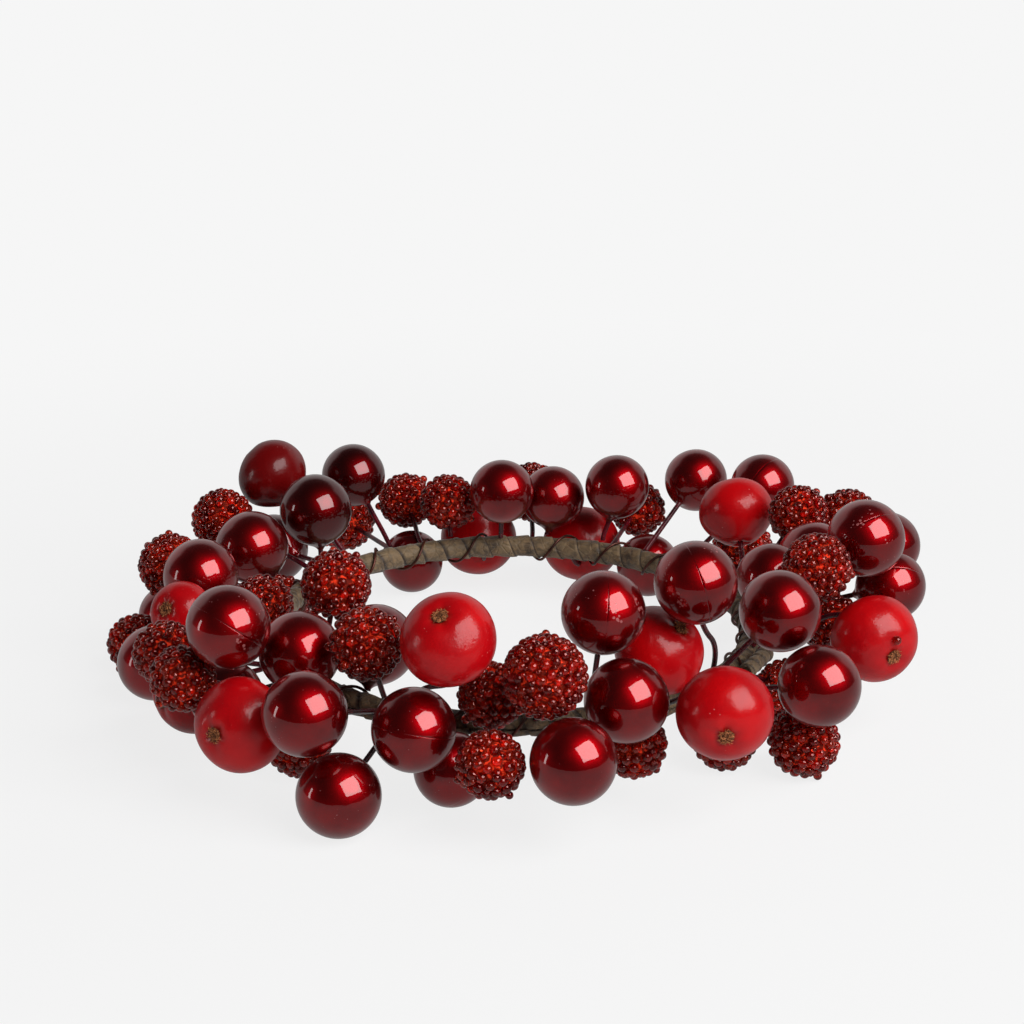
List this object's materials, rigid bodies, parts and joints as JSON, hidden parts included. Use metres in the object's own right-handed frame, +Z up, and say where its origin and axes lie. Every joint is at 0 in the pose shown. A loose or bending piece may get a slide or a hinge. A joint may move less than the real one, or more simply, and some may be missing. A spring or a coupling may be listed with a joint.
{
  "type": "candle ring",
  "caption": "Open wreath of red artificial berries on short wire stems bound to a taped wire hoop, laid round the foot of a pillar candle.",
  "frame": {"origin": "on the ring's axis, on the surface that the ring stands on", "axes": "+Z up along the ring's axis, -Y towards the front, +X to the right"},
  "size_m": [0.1765, 0.165, 0.0501],
  "materials": {
    "hoop_steel": "drawn wire, dull",
    "paper_tape": "brown-olive crepe paper tape, waxed and matt",
    "binding_wire": "thin dark red lacquered wire",
    "coated_stem": "dark maroon plastic coating, glossy",
    "pearl_lacquer": "dark red metallic lacquer, high gloss",
    "apple_skin": "bright red satin paint over foam",
    "red_beads": "translucent red seed beads glued over a foam ball",
    "dried_calyx": "brown dried fibres"
  },
  "bodies": {
    "ring": {"apple_calyxes": "dried_calyx", "back_apples": "apple_skin", "back_pearls": "pearl_lacquer", "back_raspberries": "red_beads", "back_stems": "coated_stem", "binding_wire": "binding_wire", "front_pearls": "pearl_lacquer", "front_raspberries": "red_beads", "front_stems": "coated_stem", "hoop_tape": "paper_tape", "hoop_wire": "hoop_steel", "left_apples": "apple_skin", "left_back_apples": "apple_skin", "left_back_pearls": "pearl_lacquer", "left_back_raspberries": "red_beads", "left_back_stems": "coated_stem", "left_front_apples": "apple_skin", "left_front_pearls": "pearl_lacquer", "left_front_raspberries": "red_beads", "left_front_stems": "coated_stem", "left_pearls": "pearl_lacquer", "left_raspberries": "red_beads", "left_stems": "coated_stem", "right_apples": "apple_skin", "right_back_pearls": "pearl_lacquer", "right_back_raspberries": "red_beads", "right_back_stems": "coated_stem", "right_front_apples": "apple_skin", "right_front_pearls": "pearl_lacquer", "right_front_raspberries": "red_beads", "right_front_stems": "coated_stem", "right_pearls": "pearl_lacquer", "right_raspberries": "red_beads", "right_stems": "coated_stem", "taped_stem_tail": "paper_tape"},
    "front_top_apple": {"front_top_apple": "apple_skin", "front_top_apple_stem": "coated_stem", "front_top_apple_calyx": "dried_calyx"},
    "right_front_top_pearl": {"right_front_top_pearl": "pearl_lacquer", "right_front_top_pearl_stem": "coated_stem"},
    "right_back_top_apple": {"right_back_top_apple": "apple_skin", "right_back_top_apple_stem": "coated_stem", "right_back_top_apple_calyx": "dried_calyx"},
    "back_top_pearl": {"back_top_pearl": "pearl_lacquer", "back_top_pearl_stem": "coated_stem"},
    "left_back_top_pearl": {"left_back_top_pearl": "pearl_lacquer", "left_back_top_pearl_stem": "coated_stem"},
    "left_top_pearl": {"left_top_pearl": "pearl_lacquer", "left_top_pearl_stem": "coated_stem"},
    "left_front_top_raspberry": {"left_front_top_raspberry": "red_beads", "left_front_top_raspberry_stem": "coated_stem"}
  },
  "joints": [
    {"name": "front_top_apple_bend", "type": "hinge", "parent": "ring", "child": "front_top_apple", "pos_m": [-0.01881, -0.04901, 0.01548], "axis": [0.9336, -0.3584, 0], "range_deg": [-35, 0]},
    {"name": "right_front_top_pearl_bend", "type": "hinge", "parent": "ring", "child": "right_front_top_pearl", "pos_m": [0.04022, -0.03257, 0.0158], "axis": [0.6293, 0.7772, 0], "range_deg": [-5, 18]},
    {"name": "right_back_top_apple_bend", "type": "hinge", "parent": "ring", "child": "right_back_top_apple", "pos_m": [0.04954, 0.0161, 0.01569], "axis": [-0.309, 0.9511, 0], "range_deg": [-30, 30]},
    {"name": "back_top_pearl_bend", "type": "hinge", "parent": "ring", "child": "back_top_pearl", "pos_m": [0.02109, 0.04736, 0.01577], "axis": [-0.9135, 0.4067, 0], "range_deg": [-35, 30]},
    {"name": "left_back_top_pearl_bend", "type": "hinge", "parent": "ring", "child": "left_back_top_pearl", "pos_m": [-0.04282, 0.02888, 0.01583], "axis": [-0.5592, -0.829, 0], "range_deg": [-35, 12]},
    {"name": "left_top_pearl_bend", "type": "hinge", "parent": "ring", "child": "left_top_pearl", "pos_m": [-0.05325, -0.00258, 0.01475], "axis": [0.0484, -0.9988, 0], "range_deg": [-35, 12]},
    {"name": "left_front_top_raspberry_bend", "type": "hinge", "parent": "ring", "child": "left_front_top_raspberry", "pos_m": [-0.03829, -0.03213, 0.01572], "axis": [0.6428, -0.766, 0], "range_deg": [-25, 25]}
  ]
}
